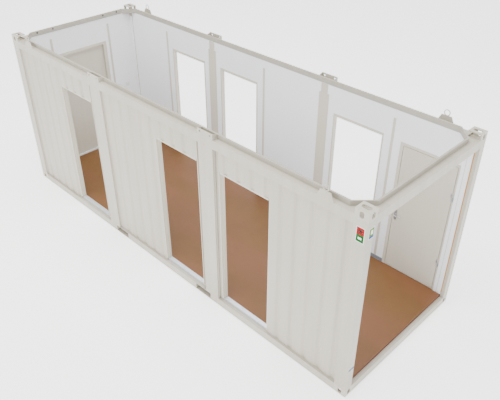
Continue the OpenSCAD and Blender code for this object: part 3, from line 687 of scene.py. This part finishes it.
def post_board(x0, x1, thick):
    """A board from x0 to x1 on the inner faces of the front post and the back post."""
    board = cushioned_plate(x1 - x0, board_tall, thick, 0.003, board_edge)
    middle = (x0 + x1) / 2
    return joined(moved(board, TO_BACK, (middle, -post_in_y, board_z)),
                  moved(board, TO_FRONT, (middle, post_in_y, board_z)))


board_split = (post_in_x + seal_low_x) / 2 - split_back
make_piece("end_post_boards", joined(
    post_board(post_in_x, board_split, board_thick),
    post_board(board_split + board_gap, seal_low_x - seal_clear, 2 * board_thick),
    post_board(-lining_x, -post_in_x, board_thick)), white_lining)

# %% [markdown]
# ## Stickers
# Small vinyl stickers sit near the top of the corner post, and a blue strip marks a level
# near its foot. They are thin sheets with a rounded outline, laid one on another, and the
# colour changes with height by comparing Z, so no picture has to be stored.

# %% Make the stickers
def sticker_sheet(name, stripes):
    """Vinyl in flat stripes: each (height, colour) fills in from that height up."""
    vinyl = Finish(name)
    height, colour = vinyl.axis("Z"), stripes[0][1]
    for start, following in stripes[1:]:
        colour = vinyl.blend(height > start, colour, following)
    fade = vinyl.noise(45.0, 4.0, 0.6)
    chip = vinyl.band(vinyl.noise(120.0, 4.0, 0.7), 0.62, 0.66)
    return vinyl.close(Base_Color=vinyl.blend(chip * 0.6, colour, (0.58, 0.57, 0.54)),
                       Metallic=0.0, Roughness=fade * 0.2 + 0.50, IOR=1.22,
                       Normal=vinyl.bump(fade, 0.0002))


white_vinyl, black_vinyl = (0.86, 0.86, 0.84), (0.02, 0.02, 0.02)
red_vinyl, green_vinyl = (0.300, 0.0010, 0.002), (0.0010, 0.100, 0.010)
lime_vinyl, blue_vinyl = (0.090, 0.240, 0.006), (0.003, 0.045, 0.260)
deep_blue_vinyl = (0.012, 0.085, 0.250)
label_x, label_y, label_z = half_l - 0.082, half_w - 0.080, 2.516
end_label_z, end_split_z, level_z = 2.540, 2.506, 0.480
side_wide, side_tall, end_wide, end_tall, level_tall = 0.108, 0.196, 0.094, 0.140, 0.026
sheet_thick, sheet_edge, sheet_round, border = 0.0006, 0.0003, 0.004, 0.007


def label_row(turn, x, y, z, fields):
    """Thin coloured fields (dx, dz, width, height, finish) on a white backing sheet."""
    for number, (dx, dz, wide, tall, finish) in enumerate(fields):
        sheet = cushioned_plate(wide, tall, sheet_thick * (1 + 0.5 * (number > 0)),
                                sheet_round, sheet_edge)
        place = np.array([x, y, z]) + turn @ np.array([dx, dz, 0.0])
        yield number, moved(sheet, turn, place), finish


white_sheet = sticker_sheet("white_vinyl", [(0, white_vinyl)])
side_sheet = sticker_sheet("side_sticker_vinyl", [(0, green_vinyl), (label_z, red_vinyl)])
end_sheet = sticker_sheet("end_sticker_vinyl", [(0, blue_vinyl), (end_split_z, lime_vinyl)])
mark_sheet = sticker_sheet("sticker_mark_vinyl", [(0, white_vinyl), (label_z, black_vinyl)])
level_sheet = sticker_sheet("level_mark_vinyl", [(0, deep_blue_vinyl)])
for label, turn, place, fields in (
        ("side", TO_FRONT, (label_x, -half_w, label_z), [
            (0, 0, side_wide, side_tall, white_sheet),
            (0, 0, side_wide - 2 * border, side_tall - 2 * border, side_sheet),
            (0, 0.045, 0.034, 0.034, mark_sheet), (0, -0.045, 0.046, 0.026, mark_sheet)]),
        ("end", TO_OPEN_END, (half_l, -label_y, end_label_z), [
            (0, 0, end_wide, end_tall, white_sheet),
            (0, 0, end_wide - 2 * border, end_tall - 2 * border, end_sheet),
            (0.004, 0.012, 0.036, 0.056, white_sheet)]),
        ("level", TO_OPEN_END, (half_l, (board_gap - half_w - post_in_y) / 2, level_z), [
            (0, 0, half_w - post_in_y - 2 * board_gap, level_tall, level_sheet)])):
    for number, shape, finish in label_row(turn, *place, fields):
        depth = turn[:, 2] * sheet_thick * 0.6 * number
        make_piece(label + "_sticker_" + str(number), moved(shape, offset=depth), finish)

# %% [markdown]
# ## Screws on the trims
# Countersunk screws hold the joint strips and the jambs. A head is turned with a dished
# recess, so that it catches light like a driven screw.

# %% Make the screws
screw = turned([(0, 0.0002), (0.0012, 0.0003), (0.0018, 0.0011), (0.0035, 0.0013),
                (0.0042, 0.0008), (0.0045, 0), (0, 0)], 14)
levels = np.linspace(0.35, 2.50, 9)
strip_offset, strip_t = 0.1425, 0.004
last_door = back_doorways[2] + opening_w
frame_low_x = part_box("back_door_frame")[0].x
back_strips = [back_doorways[0] - strip_offset, back_doorways[1] + opening_w + strip_offset,
               min(last_door + strip_offset, (last_door + frame_low_x) / 2)]
front_strips = [front_doorways[0] - strip_offset, front_doorways[1] - strip_offset,
                front_doorways[2] + opening_w + strip_offset]
strip_y = lining_y - strip_t


def upright_rows(xs, y):
    """Screw places at every level up each of the lines x, in the plane y."""
    return [(x, y, z) for x in xs for z in levels]


strip_screws = joined(
    row_of(moved(screw, TO_FRONT), upright_rows(back_strips, strip_y)),
    row_of(moved(screw, TO_BACK), upright_rows(front_strips, -strip_y)))
make_piece("strip_screws", strip_screws, zinc_metal)

jamb_wide, jamb_short = 0.022, 0.030
jamb_screws = []
for doorways, side in ((front_doorways, -1), (back_doorways, 1)):
    low_faces = [x + jamb_wide for x in doorways]
    high_faces = [x + opening_w - jamb_wide for x in doorways]
    depth = side * (lining_y + clad_y - jamb_short) / 2
    jamb_screws.append(row_of(moved(screw, TO_OPEN_END), upright_rows(low_faces, depth)))
    jamb_screws.append(row_of(moved(screw, TO_SHUT_END), upright_rows(high_faces, depth)))
make_piece("jamb_screws", joined(*jamb_screws), zinc_metal)

# %% [markdown]
# ## Treads on the thresholds
# A worn doorway gets a ribbed tread strip, so that wet boots don't slip. Its section is a
# row of half-round ribs on a thin web, carried along the doorway.

# %% Make the threshold treads
sill_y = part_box("thresholds")[1].y
rib_count, tread_deep, tread_high = 5, 0.036, 0.0022
across = np.linspace(0, 1, rib_count * 6 + 1)
rib_shape = tread_high * (0.45 + 0.55 * np.abs(np.sin(np.pi * rib_count * across)))
rib_shape[[0, -1]] = 0
tread_profile = np.column_stack([(across - 0.5) * tread_deep, rib_shape])


def tread(x0, x1, y):
    """A tread from x0 to x1: the ribbed profile (u, w) carried along X on the floor plane."""
    return along(tread_profile, [(x0, y, floor_top), (x1, y, floor_top)])


tread_clear = 0.006
gap = jamb_wide + tread_clear
tread_y = (lining_y + sill_y) / 2
treads = [tread(x + gap, x + opening_w - gap, side * tread_y)
          for side, doorways in ((-1, front_doorways), (1, back_doorways)) for x in doorways]
make_piece("threshold_treads", joined(*treads), sill_metal, crease=50)

# %% [markdown]
# ## Levers on the doors
# A lever handle is a bent bar on a back plate. The bar is a tube: circles of a changing
# radius stand square to a path that leaves the door, bends, and runs along it. The
# weather side of the end door has so little room that its lever bends close to the plate.

# %% Make the levers
def tube(path, radii, segments=20):
    """Circles round a path in the XZ plane: p + r (cos a n + sin a y), n = tangent x y."""
    path, radii = np.asarray(path, float), np.asarray(radii, float)
    tangent = np.gradient(path, axis=0)
    tangent /= np.linalg.norm(tangent, axis=1, keepdims=True)
    up = np.array([0.0, 1.0, 0.0])
    normal = np.cross(tangent, up)
    angle = np.linspace(0, 2 * math.pi, segments, endpoint=False)[:, None]
    circle = np.cos(angle) * normal[:, None] + np.sin(angle) * up
    rings = path[:, None] + radii[:, None, None] * circle
    ends = [np.repeat(path[:1, None], segments, 1), np.repeat(path[-1:, None], segments, 1)]
    return grid(np.concatenate([ends[0], rings, ends[1]]), wrap_columns=True)


handle_plate_w, handle_plate_h, handle_plate_t = 0.044, 0.176, 0.004
lever_l, lever_r, neck_r, lever_reach = 0.112, 0.0075, 0.0085, 0.052
fixing_up, keyhole_down = 0.076, 0.050


def lever_handle(reach):
    """Plate, rose, keyhole and lever on the plane z = 0, the lever along +X.

    The lever's path leaves the plate, turns a quarter circle and runs to its tip, where
    its radius falls as the square root of 1 - s^2, which makes the tip a ball.
    """
    middle = reach - lever_r
    bend = min(0.020, middle - 0.004)
    turn = np.linspace(0, math.pi / 2, 9)
    arc = np.column_stack([bend * (1 - np.cos(turn)), np.zeros(9),
                           middle - bend + bend * np.sin(turn)])
    s = np.linspace(0, 1, 14)[1:]
    run = np.column_stack([bend + (lever_l - bend - lever_r) * s, np.zeros(13),
                           np.full(13, middle)])
    tip = np.linspace(0, math.pi / 2, 6)[1:]
    ball = np.column_stack([lever_l - lever_r * (1 - np.sin(tip)), np.zeros(5),
                            np.full(5, middle)])
    path = np.vstack([[[0, 0, 0.003]], arc, run, ball])
    radii = np.concatenate([[neck_r], np.linspace(neck_r, lever_r, 9),
                            lever_r - 0.0009 * np.sin(math.pi * s), lever_r * np.cos(tip)])
    bar = tube(path, np.maximum(radii, 1e-5))
    plate = cushioned_plate(handle_plate_w, handle_plate_h, handle_plate_t, 0.010, 0.0016)
    rose = turned([(0, 0.003), (0.0160, 0.003), (0.0160, 0.0060), (0.0145, 0.0074),
                   (0.0100, 0.0078), (0, 0.0078)], 28)
    keyhole = turned([(0, 0.0050), (0.0022, 0.0050), (0.0028, 0.0062), (0.0080, 0.0066),
                      (0.0092, 0.0056), (0.0094, 0.003), (0, 0.003)], 24)
    fixings = row_of(screw, [(0, side * fixing_up, handle_plate_t) for side in (-1, 1)])
    return joined(plate, rose, bar, moved(keyhole, offset=(0, -keyhole_down, 0)), fixings)


BACK_OUTSIDE = np.stack([(1, 0, 0), (0, 0, 1), (0, 1, 0)], -1)     # a mirrored copy
END_OUTSIDE = facing((0, -1, 0), (0, 0, 1))
END_INSIDE = np.stack([(0, -1, 0), (0, 0, 1), (1, 0, 0)], -1)      # likewise
low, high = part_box("back_door_handles")
middle_z = (low.z + high.z) / 2
back_x = low.x + handle_plate_w / 2
back_levers = joined(
    moved(lever_handle(lever_reach), TO_FRONT, (back_x, low.y + lever_reach, middle_z)),
    moved(lever_handle(lever_reach), BACK_OUTSIDE, (back_x, high.y - lever_reach, middle_z)))
piece = make_piece("back_door_levers", back_levers, hardware_metal, "back_door")
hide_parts("back_door_handles")
low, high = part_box("end_door_handles")
end_y = high.y - handle_plate_w / 2
end_door_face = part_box("end_door_leaf")[0].x
end_levers = joined(
    moved(lever_handle(end_door_face - low.x), END_OUTSIDE, (end_door_face, end_y, middle_z)),
    moved(lever_handle(lever_reach), END_INSIDE, (high.x - lever_reach, end_y, middle_z)))
piece = make_piece("end_door_levers", end_levers, hardware_metal, "end_door")
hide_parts("end_door_handles")

# %% [markdown]
# ## Caps and screws on the hinges
# The upper half of a hinge turns with its leaf, so its cap and its screws ride on the
# door, and those of the lower half stay on the cabin.

# %% Finish the hinges
knuckle_h, knuckle_gap, hinge_r, flap_t, flap_middle = 0.055, 0.0005, 0.007, 0.003, 0.0155
cap = turned([(0, 0), (hinge_r, 0), (hinge_r, 0.0012), (0.0052, 0.0022), (0.0040, 0.0045),
              (0.0028, 0.0064), (0.0015, 0.0072), (0, 0.0074)], 20)
upside_down = np.diag([1.0, 1.0, -1.0])
upper_hinge_up = 1.560
back_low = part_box("back_door_hinges")[0]
hinge_feet = [back_low.z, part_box("back_door_leaf")[0].z + upper_hinge_up]
back_axis = (back_low.x + hinge_r, back_low.y + hinge_r)
end_low, end_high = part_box("end_door_hinges")
end_axis = (end_low.x + hinge_r, end_high.y - hinge_r)
back_flap_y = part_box("back_door_leaf")[0].y - flap_t
end_flap_x = end_door_face - flap_t


def hinge_trim(axis, turn, flap_face, across, half):
    """Cap and two screws of the lower (-1) or upper (1) half of both hinges of a door.

    turn faces the screws, flap_face is one screw's place on the flap, and across is the
    direction from the axis to the fixed flap; the moving flap lies the other way.
    """
    low = 0 if half < 0 else knuckle_h + knuckle_gap
    end = 0 if half < 0 else low + knuckle_h
    caps = row_of(cap if half > 0 else moved(cap, upside_down),
                  [(*axis, foot + end) for foot in hinge_feet])
    side = np.asarray(across, float) * -half * flap_middle
    places = [np.asarray(flap_face) + side + (0, 0, foot + low + share * knuckle_h)
              for foot in hinge_feet for share in (0.25, 0.75)]
    return joined(caps, row_of(moved(screw, turn), places))


back_flap, end_flap = (back_axis[0], back_flap_y, 0), (end_flap_x, end_axis[1], 0)
for name, half, body in (("lower", -1, "cabin"), ("upper", 1, "back_door")):
    make_piece("back_hinge_" + name + "_trim", hinge_trim(
        back_axis, TO_FRONT, back_flap, (1, 0, 0), half), zinc_metal, body)
for name, half, body in (("lower", -1, "cabin"), ("upper", 1, "end_door")):
    make_piece("end_hinge_" + name + "_trim", hinge_trim(
        end_axis, TO_SHUT_END, end_flap, (0, -1, 0), half), zinc_metal, body)

# %% [markdown]
# ## Gaskets in the door frames
# A door shuts against a soft gasket. It is a half-round profile carried up one side of the
# frame's stop, over the head and down the other, mitred at the corners, and it stands a
# little short of the leaf.

# %% Make the door gaskets
half_turn = np.linspace(0, math.pi, 9)
gasket_section = np.column_stack([0.003 * np.cos(half_turn), 0.0046 * np.sin(half_turn)])
stop_gap, gasket_in = 0.006, 0.0035
leaf_low, leaf_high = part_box("back_door_leaf")
gasket_path = [(leaf_low.x + gasket_in, leaf_high.y + stop_gap, floor_top),
               (leaf_low.x + gasket_in, leaf_high.y + stop_gap, leaf_high.z - gasket_in),
               (leaf_high.x - gasket_in, leaf_high.y + stop_gap, leaf_high.z - gasket_in),
               (leaf_high.x - gasket_in, leaf_high.y + stop_gap, floor_top)]
make_piece("back_door_gasket", along(gasket_section, gasket_path, (0, -1, 0)), dark_seal)
leaf_low, leaf_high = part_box("end_door_leaf")
gasket_path = [(leaf_high.x + stop_gap, leaf_low.y + gasket_in, floor_top),
               (leaf_high.x + stop_gap, leaf_low.y + gasket_in, leaf_high.z - gasket_in),
               (leaf_high.x + stop_gap, leaf_high.y - gasket_in, leaf_high.z - gasket_in),
               (leaf_high.x + stop_gap, leaf_high.y - gasket_in, floor_top)]
make_piece("end_door_gasket", along(gasket_section, gasket_path, (-1, 0, 0)), dark_seal)

# %% [markdown]
# ## Light switch
# The plain block on the end wall becomes a plate with a rolled edge and two rockers, each
# tipped a few degrees, one on and one off.

# %% Make the switch
low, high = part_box("switch_plate")
switch_w, plate_deep, rocker_apart, rocker_sunk = high.y - low.y, 0.0085, 0.0145, 0.0002
rocker = cushioned_plate(0.026, 0.050, 0.0024, 0.002, 0.0010)
rockers = []
for side in (-1, 1):
    tip = math.radians(1.5) * side
    tilt = np.array([[1, 0, 0], [0, math.cos(tip), -math.sin(tip)],
                     [0, math.sin(tip), math.cos(tip)]])
    rockers.append(moved(rocker, tilt, (side * rocker_apart, 0, plate_deep - rocker_sunk)))
switch = joined(cushioned_plate(switch_w, switch_w, plate_deep, 0.006, 0.0025), *rockers)
piece = make_piece("rocker_switch", moved(
    switch, TO_OPEN_END, (low.x, (low.y + high.y) / 2, (low.z + high.z) / 2)),
    switch_plastic)
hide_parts("switch_plate")

# %% [markdown]
# ## Floor, light and camera
# A pale floor, lit a little from within, fades into a white world, and two large soft
# lamps give the walls their slightly different greys. The camera stands off the open end,
# above the front wall.

# %% Set the stage
floor_mesh = bpy.data.meshes.new("studio_floor")
span = 40.0
floor_mesh.from_pydata([(-span, -span, 0), (span, -span, 0), (span, span, 0), (-span, span, 0)],
                       [], [(0, 1, 2, 3)])
studio_floor = bpy.data.objects.new("studio_floor", floor_mesh)
bpy.context.scene.collection.objects.link(studio_floor)
pale = Finish("studio_floor_paint")
floor_mesh.materials.append(pale.close(
    Base_Color=(0.93, 0.93, 0.93), Roughness=0.9, Emission_Color=(1, 1, 1), Emission_Strength=1.6))

world = bpy.data.worlds.new("studio")
world.use_nodes = True
world.node_tree.nodes["Background"].inputs["Color"].default_value = (1.0, 1.0, 1.0, 1)
world.node_tree.nodes["Background"].inputs["Strength"].default_value = 1.50
bpy.context.scene.world = world


def soft_lamp(name, place, target, size, watts, colour=(1, 1, 1)):
    """A square area lamp at a place, turned so that its -Z looks at the target."""
    lamp = bpy.data.lights.new(name, "AREA")
    lamp.size, lamp.energy, lamp.color = size, watts, colour
    holder = bpy.data.objects.new(name, lamp)
    holder.location = place
    aim = Vector(target) - Vector(place)
    holder.rotation_euler = aim.to_track_quat("-Z", "Y").to_euler()
    bpy.context.scene.collection.objects.link(holder)


soft_lamp("key_lamp", (-4.0, -11.0, 8.5), (0, 0, 1.2), 7.0, 500)
soft_lamp("top_lamp", (0.0, -1.0, 12.0), (0, 0, 1.0), 9.0, 1500)

azimuth, elevation = math.radians(44.877), math.radians(34.5715)
camera_place = Vector((6.2249, -5.4541, 6.3007))
sight = -Vector((math.sin(azimuth) * math.cos(elevation),
                 -math.cos(azimuth) * math.cos(elevation), math.sin(elevation)))
lens = bpy.data.cameras.new("camera")
lens.sensor_width, lens.lens, lens.clip_end = 36.0, 36.0 * 605.09 / 500, 200.0
camera = bpy.data.objects.new("camera", lens)
camera.location = camera_place
camera.rotation_euler = sight.to_track_quat("-Z", "Y").to_euler()
bpy.context.scene.collection.objects.link(camera)
bpy.context.scene.camera = camera
